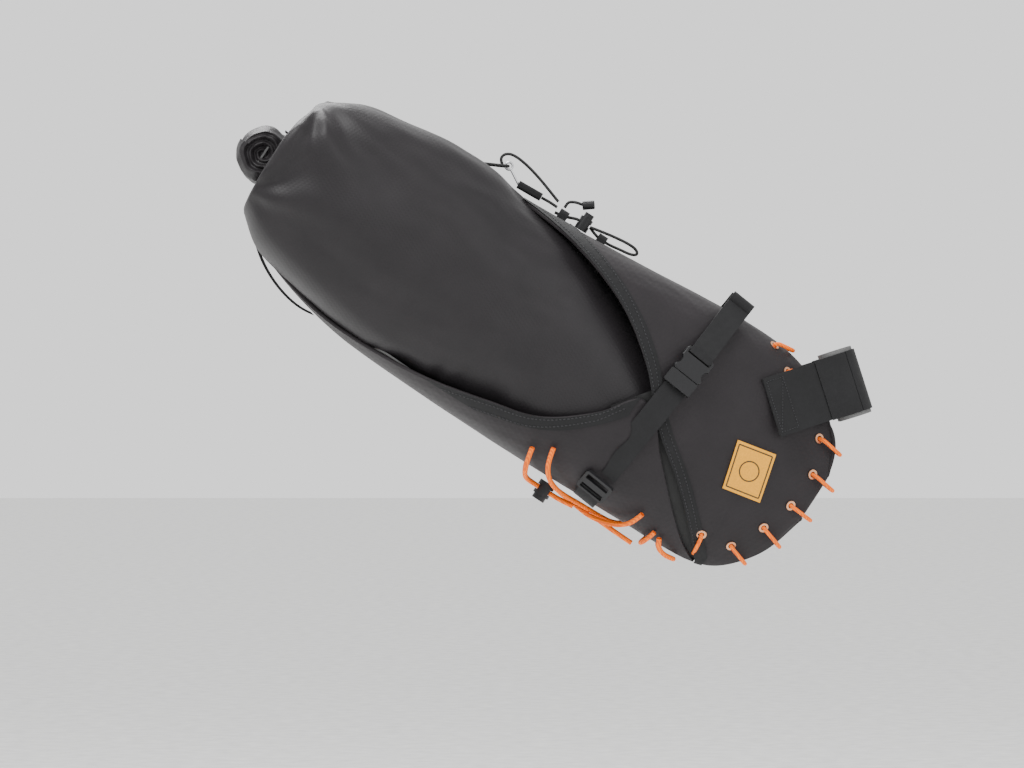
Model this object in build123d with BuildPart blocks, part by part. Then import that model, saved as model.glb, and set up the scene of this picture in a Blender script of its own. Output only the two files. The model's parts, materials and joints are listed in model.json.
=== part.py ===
"""Seat pack for a bicycle: a laced holster that straps to the seatpost and saddle rails, and a roll-top dry bag.

Frame, in millimetres: the origin is the middle of the seatpost strap's bore. +X points to the front of the
bicycle, +Z up and +Y to its left. The bag's own axis leaves the seatpost rearward and upward.
Along that axis u is measured rearward and v square to it, upward.
"""

import os
from math import cos, hypot, pi, radians, sin, tan

from build123d import *

# ---- driving dimensions ----
BAG_TILT = 33.0  # the bag's axis above level
POST_TILT = 17.6  # the seatpost's lean from upright, top to the rear
POST_RADIUS = 13.6  # a 27.2 mm seatpost
RAIL_RADIUS = 3.5  # a 7 mm saddle rail
RAIL_SPACING = 44.0
FABRIC = 3.0  # holster wall: outer fabric, foam and lining
BAG_WALL = 2.0
WEBBING = 20.0
WEBBING_THICKNESS = 1.8
STRAP_HEIGHT = 50.0  # width of the seatpost strap
LACE_DIAMETER = 3.2
SHOCK_CORD = 2.4
CLEARANCE = 0.3
LINING = 1.2
BINDING_WIDTH = 10.0
BINDING_INNER = 55.0  # half the width left bare between the cradle's two tapes
BINDING_THICKNESS = 0.8
EYELET_HOLE = 2.3  # radius
EYELET_WALL = 0.6
EYELET_RIM = 0.62  # the panel's hole is this much wider than the eyelet's
EYELET_REACH = 3.5
EYELET_FLANGE = 4.0  # radius
SIDES = (("right", -1), ("left", 1))

AXIS_X = cos(radians(BAG_TILT))
AXIS_Z = sin(radians(BAG_TILT))

# Stations along the holster: u, top v, bottom v, half width, and how round the flanks and the top are.
# A flank power of 2 with a height power of 1 is a pointed lens, and 0.77 twice is a soft-cornered box.
HOLSTER_STATIONS = [
    (-31.5, -70, -110, 3.5, 1.7, 1.0),
    (-23, -48, -142, 9, 1.7, 1.0),
    (-9, -33, -165, 17, 1.7, 1.0),
    (8, -20, -181, 26, 1.6, 1.0),
    (27, -9, -188, 35, 1.5, 1.0),
    (52, -2, -190.5, 46, 1.25, 0.95),
    (88, 0, -191.5, 57, 1.0, 0.9),
    (132, -2.5, -192.5, 67, 0.86, 0.82),
    (190, -8, -194, 76, 0.78, 0.78),
    (250, -12.5, -194, 81, 0.77, 0.77),
    (310, -15.5, -193, 83, 0.77, 0.77),
    (365, -15.5, -190, 83, 0.77, 0.77),
    (412, -15.5, -180.5, 82, 0.77, 0.77),
    (470, -15.5, -161.5, 80, 0.77, 0.77),
]
CAVITY_START = 1  # the station where the hollow between the two nose panels begins

# The dry bag is drafted so that it leaves the holster rearward and a little upward.
DRY_BAG_STATIONS = [
    (44, -98, -158, 20, 1.0, 1.0),
    (58, -82, -175, 34, 0.95, 0.95),
    (90, -72, -182, 46, 0.9, 0.9),
    (132, -62, -184, 57, 0.84, 0.84),
    (190, -47, -185, 68, 0.8, 0.8),
    (250, -32, -185, 74.5, 0.77, 0.77),
    (295, -22, -184.5, 77.5, 0.77, 0.77),
    (328, -7.5, -184, 80, 0.77, 0.77),
    (362, -7.5, -181.5, 82.5, 0.77, 0.77),
    (400, -11.5, -174, 83.5, 0.77, 0.77),
    (432, -16, -166, 84, 0.77, 0.77),
    (460, -26, -159, 84, 0.77, 0.77),
    (484, -40, -144.5, 82, 0.77, 0.77),
    (505, -52, -127, 78, 0.77, 0.77),
]


# The holster's edges in the side view, as (u, v)
NOSE_EDGE = [(299, -16), (244, -24), (187, -45), (141, -78), (110, -111), (72, -140), (48, -161), (23, -186)]
CRADLE_EDGE = [(463, -163), (437, -172), (386, -184), (332, -185), (283, -180), (232, -168), (192, -156),
               (154, -126), (134, -100)]
SLIT_EDGE = [(113, -108), (97, -127), (80, -144), (60, -163), (42, -178), (26, -187)]
GUSSET_OUTLINE = [(128, -88), (150, -118), (96, -152), (56, -186), (10, -186), (60, -132), (96, -104)]

# Eyelets of the nose and the places where the lace goes over the front edge, as (X, Z)
EYELETS = [(-57.0, 31.0), (-46.7, 9.7), (-20.5, -44.1), (-26.0, -73.0), (-43.8, -98.0), (-65.8, -115.8),
           (-92.0, -130.4), (-116.0, -121.0)]
LACE_OVER_EDGE = [(-41.0, 27.0), (-27.5, 11.5), (-3.0, -57.5), (-9.0, -86.5), (-27.0, -110.5),
                  (-52.0, -132.0), (-80.0, -145.5), (-122.0, -137.0)]


# Dry bag closure
GROOVE = [(300, -19), (330, -16), (362, -16), (400, -20.5), (432, -26), (455, -36), (466, -50), (472, -78)]
GROOVE_HALF_WIDTH = 13.0
ROLL_CENTRE = (491, -100)
ROLL_RADIUS = 24.0
ROLL_HALF_LENGTH = 64.0
CLOSURE_LINE = [(338, -15.4), (362, -15.6), (400, -20), (432, -25.6), (453, -34), (465, -47), (471, -62),
                (478, -73), (490, -75.6)]
BAG_LOOP_ROUTE = [(-292, -4, 178.5), (-283, -5, 177.5), (-274, -5.5, 176.5), (-270.6, 0, 176.4),
                  (-274, 5.5, 176.5), (-283, 5, 177.5), (-292, 4, 178.5)]

# Hook and cords on the roof, as (X, Z) or (X, Y, Z)
HOOK_RING = (-271.0, 176.6)
HOOK_RING_RADIUS = 3.0
HOOK_WIRE_RADIUS = 0.9
HOOK_SLEEVE_TOP = (-263.5, 161.8)
HOOK_SLEEVE_END = (-245.0, 151.2)
HOOK_CORD_ROUTE = [(-244.8, 0, 151.0), (-238.5, 0, 147.6), (-232.0, 0, 143.2)]
ARCH_CORD_ROUTE = [(-276.2, 0, 177.4), (-278.4, 0, 182.2), (-274.6, 0, 186.6), (-267.5, 0, 186.0),
                   (-257.5, 0, 178.4), (-247.5, 0, 168.0), (-238.5, 0, 157.0), (-231.0, 0, 147.6)]
TOP_LOCK_FOOT = (247.0, -11.5)
CORD_END = (-206.6, 144.8)
TAIL_ROUTE = [(-226.0, 3.5, 142.8), (-223.0, 3.4, 147.6), (-217.0, 2.0, 147.4), (-211.6, 0, 145.3)]
ROOF_LOOPS = [265.0, 228.0]

# Cord routes given along the bag's axis, as (u, v, Y)
ROOF_CORD_ROUTES = [[(272, -10.8, y), (264, -9.7, y), (257.5, -7.0, y), (253.5, -5.45, y), (242.6, -5.45, y)]
                    for y in (-1.3, 1.3)]
PULL_LOOP_ROUTE = [(241.4, -5.45, -1.4), (232, -3.4, -1.5), (221, -1.4, -1.6), (209, 0.2, -1.6),
                   (200.5, 0.0, -1.5), (196.8, -3.2, -1.2), (201.5, -6.2, -0.8), (211, -7.4, -0.2),
                   (220, -8.9, 0.4), (228, -9.2, 0.8), (235, -8.2, 1.1), (241.4, -5.45, 1.4)]

# Cord locks
LOCK_WALL = 1.2
LOCK_FLOOR = 2.8
LOCK_PROUD = 4.0
LOCK_TRAVEL = 1.4
PLUNGER_WALL = 0.8
POCKET_ROOF = 0.6
CORD_GAP = 0.6
SPRING_WIRE = 0.35
SPRING_TURNS = 2

# Elastic cord under the belly
BELLY_CORD = 4.0
BELLY_LOCK = (157, -197.5)
# Right-hand half of the strand that runs to the lock; its twin mirrors it
LOCK_STRAND = [(184, -180, -54), (182, -190, -49.5), (179, -198, -40), (176.5, -202.5, -27), (173, -204.0, -13.5),
               (166.5, -204.1, -3.4), (157, -204.1, -2.2), (147, -204.1, -2.2), (138, -203.4, -2.3),
               (130, -202.4, -2.4)]
# The strand that crosses the belly from the right at the back to the left at the front
CROSS_STRAND = [(169.7, -171, -59), (167.5, -182, -56), (162, -191.5, -47.5), (154, -197, -35),
                (143, -198.5, -21), (130, -198, -9), (117, -197.6, 0), (106, -197.4, 7.5), (96, -196.4, 15.5),
                (88, -192.5, 23.5), (83, -185.5, 30), (80.7, -177, 34.5)]
CROSSING_DROP = [0, 0, 0, 0, -1, -2.5, -4.4, -3.2, -1, 0, 0, 0]
BACK_STRAND = [(64, -184, -20), (66, -192, -17), (68, -197.2, -7), (68, -197.2, 7), (66, -192, 17),
               (64, -184, 20)]
FRONT_STRAND = [(58, -186, -17), (55, -192.5, -13.5), (47, -195.5, -8), (38.5, -194, -2.6), (38.5, -194, 2.6),
                (47, -195.5, 8), (55, -192.5, 13.5), (58, -186, 17)]
MIDDLE_STRAND = [(108, -200.6, 0), (91, -201.4, 0), (74, -201.6, 0)]

# Seatpost strap
PAD_RADIUS = POST_RADIUS + 1.2
FLAP_ANGLE = -62.0  # where the flap starts to peel from the post, from straight ahead
FLAP_LENGTH = 18.0

LABEL_CORNERS = [(-88.0, -44.6), (-56.4, -56.7), (-69.3, -95.6), (-100.1, -83.4)]
LIGHT_LOOP = [(460, -165.5), (447, -175), (433, -182), (419, -186.5), (405, -188.5), (390, -187)]
LIGHT_LOOP_WIDTH = 15.0

# Side straps and their buckles
LADDER_LEAN = 42.0
LADDER_LENGTH = 20.0
STRAP_FOOT = Vector(-205.4, 0, -85.9)
RAIL_HEIGHT = 193.0  # of the rail's centre, up the strap line
BUCKLE_HEIGHT = 118.0  # of the joint between plug and socket, up the strap line
BUCKLE_LEAN = 8.0
BUCKLE_WIDTH = 26.0
SOCKET_LENGTH = 21.5
PLUG_LENGTH = 12.0


def at(u, v, y=0.0):
    """A point given along the bag's axis, square to it, and across."""
    return Vector(-AXIS_X * u + AXIS_Z * v, y, AXIS_Z * u + AXIS_X * v)


def side(u, v):
    """The same point in the side view, as (X, Z)."""
    point = at(u, v)
    return (point.X, point.Z)


def section_plane(u):
    """The cross-section plane at u: its x axis points right, and its y axis up along v."""
    return Plane(origin=at(u, 0), x_dir=(0, -1, 0), z_dir=(-AXIS_X, 0, AXIS_Z))


def signed_power(value, power):
    return (abs(value) ** power) * (1 if value >= 0 else -1)


def section_points(top, bottom, half_width, flank, rise, count=20):
    """Points round a rounded cross-section."""
    middle = (top + bottom) / 2
    half_height = (top - bottom) / 2
    points = []
    for i in range(count):
        turn = 2 * pi * i / count
        across = half_width * signed_power(cos(turn), flank)
        up = middle + half_height * signed_power(sin(turn), rise)
        points.append((across, up))
    return points


def lofted_form(stations, grow=0.0):
    """A closed form through the stations, each section grown outward by the same amount."""
    with BuildPart() as form:
        for u, top, bottom, half_width, flank, rise in stations:
            with BuildSketch(section_plane(u)):
                with BuildLine():
                    points = section_points(top + grow, bottom - grow, half_width + grow, flank, rise)
                    Spline(*points, periodic=True)
                make_face()
        loft()
    return form.part


def holster_half_width(u, v):
    """Half width of the holster's outside at a point of the side view."""
    stations = HOLSTER_STATIONS
    after = next((i for i, s in enumerate(stations) if s[0] >= u), len(stations) - 1)
    after = max(after, 1)
    low, high = stations[after - 1], stations[after]
    share = (u - low[0]) / (high[0] - low[0])
    top, bottom, half_width, flank, rise = (a + (b - a) * share for a, b in zip(low[1:], high[1:]))
    height = min(abs(v - (top + bottom) / 2) / ((top - bottom) / 2), 1.0)
    turn_sine = height ** (1 / rise)
    return half_width * (1 - turn_sine**2) ** (flank / 2)


def beside(points, distance):
    """The same line of points, moved to its left by a distance."""
    moved = []
    for i, point in enumerate(points):
        before = points[max(i - 1, 0)]
        after = points[min(i + 1, len(points) - 1)]
        run = hypot(after[0] - before[0], after[1] - before[1])
        left = (-(after[1] - before[1]) / run, (after[0] - before[0]) / run)
        moved.append((point[0] + left[0] * distance, point[1] + left[1] * distance))
    return moved


def band(plane, inner, thickness, width):
    """A flat strap: a line of points in the plane, thickened to its left and extruded by its width."""
    outer = beside(inner, thickness)
    with BuildPart() as strap:
        with BuildSketch(plane):
            with BuildLine():
                Spline(*inner)
                Line(inner[-1], outer[-1])
                Spline(*reversed(outer))
                Line(outer[0], inner[0])
            make_face()
        extrude(amount=width / 2, both=True)
    return strap.part


def cord_tube(route, diameter):
    """A cord along straight runs joined by tangent arcs, as large as the runs allow."""
    points = [Vector(*p) for p in route]
    radii = []
    for before, here, after in zip(points, points[1:], points[2:]):
        turn = radians((here - before).get_angle(after - here))
        run = min((here - before).length, (after - here).length)
        radii.append(0.45 * run / tan(turn / 2))
    with BuildPart() as cord:
        with BuildLine() as path:
            FilletPolyline(*points, radius=radii)
        with BuildSketch(Plane(origin=path.line @ 0, z_dir=path.line % 0)):
            Circle(diameter / 2)
        sweep()
    length = sum(edge.length for edge in path.edges())
    print(f"  cord {diameter} mm: {length:.0f} mm long, arcs", [round(r, 1) for r in radii],
          f"volume {cord.part.volume:.0f} of {pi * diameter**2 / 4 * length:.0f}")
    return cord.part


def along_bag(route):
    """A cord's route given as (u, v, Y), in the model's frame."""
    return [tuple(at(u, v, y)) for u, v, y in route]


def mirrored(route):
    return [(u, v, -y) for u, v, y in route]


def finish(part, name):
    part.label = name
    export_step(part, f"parts/{name}.step")


os.makedirs("parts", exist_ok=True)

# ---- holster panels ----
holster_outside = lofted_form(HOLSTER_STATIONS)
holster_inside = lofted_form(HOLSTER_STATIONS[CAVITY_START:], grow=-FABRIC)
lining_inside = lofted_form(HOLSTER_STATIONS[CAVITY_START:], grow=-FABRIC - LINING)
binding_outside = lofted_form(HOLSTER_STATIONS, grow=BINDING_THICKNESS)


def side_prism(points, corners):
    """The space behind a curved edge in the side view, right across the bag."""
    with BuildPart() as prism:
        with BuildSketch(Plane.XZ):
            with BuildLine():
                Spline(*[side(u, v) for u, v in points])
                Polyline(side(*points[-1]), *[side(u, v) for u, v in corners], side(*points[0]))
            make_face()
        extrude(amount=120, both=True)
    return prism.part


NOSE_CORNERS = [(23, -240), (-80, -240), (-80, 40), (299, 40)]
nose_region = side_prism(NOSE_EDGE, NOSE_CORNERS)
nose_inner_region = side_prism(beside(NOSE_EDGE, -BINDING_WIDTH), NOSE_CORNERS)

CRADLE_CORNERS = [(134, -240), (480, -240), (480, -163)]
with BuildPart() as slit_region:
    with BuildSketch(Plane.XZ):
        with BuildLine():
            Spline(*[side(u, v) for u, v in SLIT_EDGE])
            Polyline(side(26, -187), side(23, -188), side(23, -240), side(140, -240), side(140, -96),
                     side(113, -108))
        make_face()
    extrude(amount=120, both=True)

with BuildPart() as cradle_region:
    add(side_prism(CRADLE_EDGE, CRADLE_CORNERS))
    add(slit_region.part)
    add(nose_region, mode=Mode.SUBTRACT)


def shell_panel(outside, inside, region):
    """The part of a wall, between two nested forms, that lies in a region of the side view."""
    with BuildPart() as panel:
        add(outside)
        add(inside, mode=Mode.SUBTRACT)
        add(region, mode=Mode.INTERSECT)
    return panel.part


cradle = shell_panel(holster_outside, holster_inside, cradle_region.part)
nose = shell_panel(holster_outside, holster_inside, nose_region)

# woven binding tape, folded over the long edges
with BuildPart() as nose_binding_region:
    add(nose_region)
    add(nose_inner_region, mode=Mode.SUBTRACT)
nose_binding = shell_panel(binding_outside, holster_outside, nose_binding_region.part)

with BuildPart() as cradle_binding_region:
    add(side_prism(CRADLE_EDGE, CRADLE_CORNERS))
    add(side_prism(beside(CRADLE_EDGE, BINDING_WIDTH), CRADLE_CORNERS), mode=Mode.SUBTRACT)
    add(nose_region, mode=Mode.SUBTRACT)
    with BuildSketch(Plane.XZ):
        Rectangle(1400, 1400)
    extrude(amount=BINDING_INNER, both=True, mode=Mode.SUBTRACT)
finish(shell_panel(binding_outside, holster_outside, cradle_binding_region.part), "cradle_binding")

# the gusset closes the slit between nose and cradle from inside
with BuildPart() as gusset_region:
    with BuildSketch(Plane.XZ):
        with BuildLine():
            Polyline(*[side(u, v) for u, v in GUSSET_OUTLINE], close=True)
        make_face()
    extrude(amount=120, both=True)
gusset = shell_panel(holster_inside, lining_inside, gusset_region.part)

with BuildPart() as stiffener_region:
    with BuildSketch(Plane(origin=at(245, -180), x_dir=(-AXIS_X, 0, AXIS_Z), z_dir=(AXIS_Z, 0, AXIS_X))):
        RectangleRounded(190, 92, 20)
    extrude(amount=25, both=True)
finish(shell_panel(holster_inside, lining_inside, stiffener_region.part), "base_stiffener")

# ---- eyelets and lace ----
def surface_frame(x, z, lift=0.0, hand=-1):
    """A plane on the holster's side at a point of the side view, its z axis pointing outward."""
    step = 2.0
    u = -AXIS_X * x + AXIS_Z * z
    v = AXIS_Z * x + AXIS_X * z
    width = holster_half_width(u, v)
    slope_u = (holster_half_width(u + step, v) - holster_half_width(u - step, v)) / (2 * step)
    slope_v = (holster_half_width(u, v + step) - holster_half_width(u, v - step)) / (2 * step)
    outward = Vector(AXIS_X * slope_u - AXIS_Z * slope_v, 1.0, -AXIS_Z * slope_u - AXIS_X * slope_v).normalized()
    place = Vector(x, width, z) + outward * lift
    if hand < 0:
        outward = Vector(outward.X, -outward.Y, outward.Z)
        place = Vector(place.X, -place.Y, place.Z)
    return Plane(origin=place, x_dir=(AXIS_X, 0, -AXIS_Z), z_dir=outward)


eyelets = []
eyelet_holes = []
for x, z in EYELETS:
    for _, hand in SIDES:
        with BuildPart() as eyelet:
            with BuildSketch(surface_frame(x, z, -FABRIC - 0.8, hand)):
                Circle(EYELET_HOLE + EYELET_WALL)
                Circle(EYELET_HOLE, mode=Mode.SUBTRACT)
            extrude(amount=FABRIC + 1.6)
            with BuildSketch(surface_frame(x, z, 0, hand)):
                Circle(EYELET_FLANGE)
                Circle(EYELET_HOLE, mode=Mode.SUBTRACT)
            extrude(amount=0.8)
        eyelets.append(eyelet.part)
        with BuildPart() as hole:
            with BuildSketch(surface_frame(x, z, -FABRIC - EYELET_REACH, hand)):
                Circle(EYELET_HOLE + EYELET_RIM)
            extrude(amount=FABRIC + EYELET_REACH)
            with BuildSketch(surface_frame(x, z, 0, hand)):
                Circle(EYELET_FLANGE)
            extrude(amount=4)
        eyelet_holes.append(hole.part)
finish(Compound(children=eyelets), "eyelets")

stitches = []
for (x, z), (edge_x, edge_z) in zip(EYELETS, LACE_OVER_EDGE):
    outer_end = surface_frame(x, z, 3.4).origin
    inner_end = surface_frame(x, z, -5.5).origin
    half_way = outer_end + (Vector(edge_x, -8.0, edge_z) - outer_end) * 0.5
    half_way = half_way + Vector(0, -1.5, 0)
    near = [inner_end, outer_end, half_way, Vector(edge_x, -6.5, edge_z)]
    far = [Vector(p.X, -p.Y, p.Z) for p in reversed(near)]
    stitches.append(cord_tube([tuple(p) for p in near + far], LACE_DIAMETER))
finish(Compound(children=stitches), "nose_lace")

for panel, name in ((nose, "holster_nose"), (cradle, "holster_cradle"), (gusset, "slit_gusset"),
                    (nose_binding, "nose_binding")):
    with BuildPart() as pierced:
        add(panel)
        add(eyelet_holes, mode=Mode.SUBTRACT)
        add(stitches, mode=Mode.SUBTRACT)
    finish(pierced.part, name)

# ---- side straps, from a saddle rail down to the cradle's bottom corner ----
STRAP_RISE_X = 117.4 / 187.2
STRAP_RISE_Z = 145.8 / 187.2
along_strap = Vector(STRAP_RISE_X, 0, STRAP_RISE_Z)


def strap_point(t, y, aside=0.0):
    """A point at a height t up the strap line, at y across the bag."""
    return STRAP_FOOT + along_strap * t + Vector(-STRAP_RISE_Z, 0, STRAP_RISE_X) * aside + Vector(0, y, 0)


def strap_surface(t):
    """Half width of the holster under the strap line."""
    point = strap_point(t, 0)
    return holster_half_width(-AXIS_X * point.X + AXIS_Z * point.Z, AXIS_Z * point.X + AXIS_X * point.Z)


strap_plane = Plane(origin=STRAP_FOOT, x_dir=along_strap, z_dir=(-STRAP_RISE_Z, 0, STRAP_RISE_X))


def hardware_plane(t, y, tilt):
    """A plane for strap hardware: x up the strap, z outward on the right side, tilted about its width."""
    up = along_strap * cos(radians(tilt)) + Vector(0, sin(radians(tilt)), 0)
    outward = Vector(0, -cos(radians(tilt)), 0) + along_strap * sin(radians(tilt))
    return Plane(origin=strap_point(t, y), x_dir=up, z_dir=outward)


def both_hands(part, name):
    """A right piece and its mirror image on the left."""
    finish(part, f"right_{name}")
    finish(mirror(part, about=Plane.XZ), f"left_{name}")


buckle = hardware_plane(BUCKLE_HEIGHT, -strap_surface(BUCKLE_HEIGHT) - 3.4, BUCKLE_LEAN)


def on_buckle(x, y, z):
    return buckle.from_local_coords(Vector(x, y, z))


# socket: a flat box with a mouth, a waist that the prongs show through, and a bar for the webbing
with BuildPart() as socket:
    with BuildSketch(buckle.offset(0.6)):
        with Locations((SOCKET_LENGTH / 2, 0)):
            RectangleRounded(SOCKET_LENGTH, BUCKLE_WIDTH, 2.5)
    extrude(amount=7.6)
    fillet(socket.edges().filter_by(Axis(origin=(0, 0, 0), direction=buckle.x_dir)), 1.2)
    with BuildSketch(Plane(origin=on_buckle(0, 0, 5.0), x_dir=buckle.y_dir, z_dir=buckle.x_dir)):
        Rectangle(BUCKLE_WIDTH - 3.2, 3.8)
    extrude(amount=SOCKET_LENGTH - 7.0, mode=Mode.SUBTRACT)
    with BuildSketch(buckle.offset(-1)):
        for edge in (-1, 1):
            with Locations((8.2, edge * (BUCKLE_WIDTH / 2 + 2.2))):
                Circle(5.0)
        with Locations((SOCKET_LENGTH - 4.0, 0)):
            Rectangle(3.0, WEBBING + 1.2)
    extrude(amount=12, mode=Mode.SUBTRACT)
both_hands(socket.part, "buckle_socket")

# plug: a block with a tunnel for the webbing, a middle guide and two spring prongs
with BuildPart() as plug:
    with BuildSketch(buckle.offset(0.6)):
        with Locations((-PLUG_LENGTH / 2 - 0.4, 0)):
            RectangleRounded(PLUG_LENGTH, BUCKLE_WIDTH - 0.6, 1.5)
    extrude(amount=6.6)
    with BuildSketch(Plane(origin=on_buckle(0, 0, 1.9), x_dir=buckle.y_dir, z_dir=buckle.x_dir)):
        Rectangle(WEBBING + 1.0, WEBBING_THICKNESS + 0.8)
    extrude(amount=-30, mode=Mode.SUBTRACT)
    with BuildSketch(buckle.offset(3.6)):
        with Locations((6.0, 0)):
            Rectangle(14.0, 2.6)
        for edge in (-1, 1):
            with Locations((6.0, edge * 8.2)):
                Rectangle(14.0, 2.6)
            with Locations((10.6, edge * 9.0)):
                RectangleRounded(6.0, 3.6, 1.2)
    extrude(amount=2.8)
both_hands(plug.part, "buckle_plug")

# upper strap: a sewn loop that hangs on the rail and goes round the socket's bar
rail_y = -RAIL_SPACING / 2
bar = on_buckle(SOCKET_LENGTH + 0.4, 0, 4.4)
bar_height = (bar - STRAP_FOOT).dot(along_strap)
bar_profile = Plane(origin=buckle.origin, x_dir=buckle.x_dir, z_dir=-buckle.y_dir)
with BuildPart() as upper_strap:
    with BuildSketch(strap_plane):
        with BuildLine():
            Polyline((bar_height, bar.Y - 1.6), (bar_height, bar.Y + 1.6),
                     (RAIL_HEIGHT - 4.0, rail_y + 2.4), (RAIL_HEIGHT + 2.0, rail_y - 1.0),
                     (RAIL_HEIGHT - 2.4, rail_y - 3.8), close=True)
        make_face()
        with Locations((RAIL_HEIGHT, rail_y)):
            Circle(RAIL_RADIUS + WEBBING_THICKNESS)
        with Locations((RAIL_HEIGHT, rail_y)):
            Circle(RAIL_RADIUS, mode=Mode.SUBTRACT)
    extrude(amount=WEBBING / 2, both=True)
    with BuildSketch(bar_profile):
        with Locations((SOCKET_LENGTH - 1.1, 4.4)):
            Rectangle(6.0, 9.4)
        with Locations((SOCKET_LENGTH - 1.2, 4.4)):
            Rectangle(2.8, 7.9, mode=Mode.SUBTRACT)
    extrude(amount=WEBBING / 2, both=True)
    add(binding_outside, mode=Mode.SUBTRACT)
both_hands(upper_strap.part, "upper_strap")

# lower strap: threaded through the plug's tunnel and lying on the holster down to the ladder lock
tunnel_end = on_buckle(-1.2, 0, 1.0)
tunnel_start = on_buckle(-PLUG_LENGTH - 24.0, 0, 1.0)


def in_strap_plane(point):
    return ((point - STRAP_FOOT).dot(along_strap), point.Y)


lower_line = [in_strap_plane(tunnel_end), in_strap_plane(tunnel_start)]
for t in (58, 42, 28, 17):
    lower_line.append((t, -strap_surface(t) - BINDING_THICKNESS - 1.6))
with BuildPart() as lower_strap:
    with BuildSketch(strap_plane):
        with BuildLine():
            outer_line = beside(lower_line, -WEBBING_THICKNESS)
            Line(lower_line[0], lower_line[1])
            Spline(*lower_line[1:], tangents=(Vector(*lower_line[1]) - Vector(*lower_line[0]),
                                              Vector(*lower_line[-1]) - Vector(*lower_line[-2])))
            Line(lower_line[-1], outer_line[-1])
            Spline(*outer_line[1:], tangents=(Vector(*outer_line[1]) - Vector(*outer_line[0]),
                                              Vector(*outer_line[-1]) - Vector(*outer_line[-2])))
            Line(outer_line[1], outer_line[0])
            Line(outer_line[0], lower_line[0])
        make_face()
    extrude(amount=WEBBING / 2, both=True)
    add(binding_outside, mode=Mode.SUBTRACT)
both_hands(lower_strap.part, "lower_strap")

# ladder lock at the foot of the strap, and the webbing that anchors it under the cradle
ladder = hardware_plane(6.0, -strap_surface(6.0) - 5.5, -LADDER_LEAN)
with BuildPart() as ladder_lock:
    with BuildSketch(ladder):
        RectangleRounded(LADDER_LENGTH, WEBBING + 6.0, 2.5)
        with Locations((-5.5, 0), (5.0, 0)):
            Rectangle(5.0, WEBBING + 1.0, mode=Mode.SUBTRACT)
    extrude(amount=2.8)
    add(binding_outside, mode=Mode.SUBTRACT)
    add(lower_strap.part, mode=Mode.SUBTRACT)
both_hands(ladder_lock.part, "ladder_lock")

anchor_line = [(-8.5, -20.0), (-9.5, -27.0), (-5.5, -35.0), (0.5, -42.0)]
with BuildPart() as strap_anchor:
    add(band(strap_plane, anchor_line, WEBBING_THICKNESS, WEBBING))
    add(binding_outside, mode=Mode.SUBTRACT)
    add(ladder_lock.part, mode=Mode.SUBTRACT)
    add(lower_strap.part, mode=Mode.SUBTRACT)
both_hands(strap_anchor.part, "strap_anchor")

# ---- seatpost strap: two tabs sewn to the nose, a wrap round the post and a hook-and-loop flap ----
post_plane = Plane(origin=(0, 0, 0), x_dir=(cos(radians(POST_TILT)), 0, sin(radians(POST_TILT))),
                   z_dir=(-sin(radians(POST_TILT)), 0, cos(radians(POST_TILT))))


def ring_arc(inner, outer, start, finish_angle, height):
    """Part of a round strap about the post, between two angles from straight ahead."""
    with BuildPart() as arc:
        with BuildSketch(post_plane):
            with BuildLine():
                inside = CenterArc((0, 0), inner, start, finish_angle - start)
                outside = CenterArc((0, 0), outer, start, finish_angle - start)
                Line(inside @ 0, outside @ 0)
                Line(inside @ 1, outside @ 1)
            make_face()
        extrude(amount=height / 2, both=True)
    return arc.part


finish(ring_arc(POST_RADIUS, PAD_RADIUS, -150, 150, STRAP_HEIGHT + 6), "post_grip_pad")

wrap_radius = PAD_RADIUS + WEBBING_THICKNESS
with BuildPart() as post_wrap:
    add(ring_arc(PAD_RADIUS, wrap_radius, FLAP_ANGLE + 2, 90, STRAP_HEIGHT))
    with BuildSketch(post_plane):
        with Locations((-FLAP_LENGTH / 2, (PAD_RADIUS + wrap_radius) / 2)):
            Rectangle(FLAP_LENGTH, WEBBING_THICKNESS)
    extrude(amount=STRAP_HEIGHT / 2, both=True)
finish(post_wrap.part, "post_wrap")

with BuildPart() as post_flap:
    add(ring_arc(PAD_RADIUS, wrap_radius, -90, FLAP_ANGLE, STRAP_HEIGHT))
    with BuildSketch(post_plane):
        with Locations((-FLAP_LENGTH / 2, -(PAD_RADIUS + wrap_radius) / 2)):
            Rectangle(FLAP_LENGTH, WEBBING_THICKNESS)
    extrude(amount=STRAP_HEIGHT / 2, both=True)
finish(post_flap.part, "post_flap")

tab_line = [(-8.0, -12.8), (-20.0, -14.2), (-44.0, -26.0), (-64.0, -36.0)]
with BuildPart() as post_tab:
    add(band(post_plane, tab_line, WEBBING_THICKNESS - 0.1, STRAP_HEIGHT - 1))
    add(holster_outside, mode=Mode.SUBTRACT)
    add(stitches, mode=Mode.SUBTRACT)
    with BuildSketch(post_plane):
        with Locations((-FLAP_LENGTH / 2, -PAD_RADIUS - 2)):
            Rectangle(FLAP_LENGTH + 1.2, 4.6)
    extrude(amount=STRAP_HEIGHT, both=True, mode=Mode.SUBTRACT)
both_hands(post_tab.part, "post_tab")

# ---- leather label on the right side ----
label_outside = lofted_form(HOLSTER_STATIONS, grow=1.2)
with BuildPart() as label_region:
    with BuildSketch(Plane.XZ):
        with BuildLine():
            Polyline(*LABEL_CORNERS, close=True)
        make_face()
    extrude(amount=100)
finish(shell_panel(label_outside, holster_outside, label_region.part), "label")

# ---- webbing loop under the tail, for a rear light ----
light_line = [side(u, v) for u, v in LIGHT_LOOP]
with BuildPart() as light_loop:
    add(band(Plane.XZ, light_line, WEBBING_THICKNESS, LIGHT_LOOP_WIDTH))
    add(holster_outside, mode=Mode.SUBTRACT)
    add(binding_outside, mode=Mode.SUBTRACT)
finish(light_loop.part, "light_loop")

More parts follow.
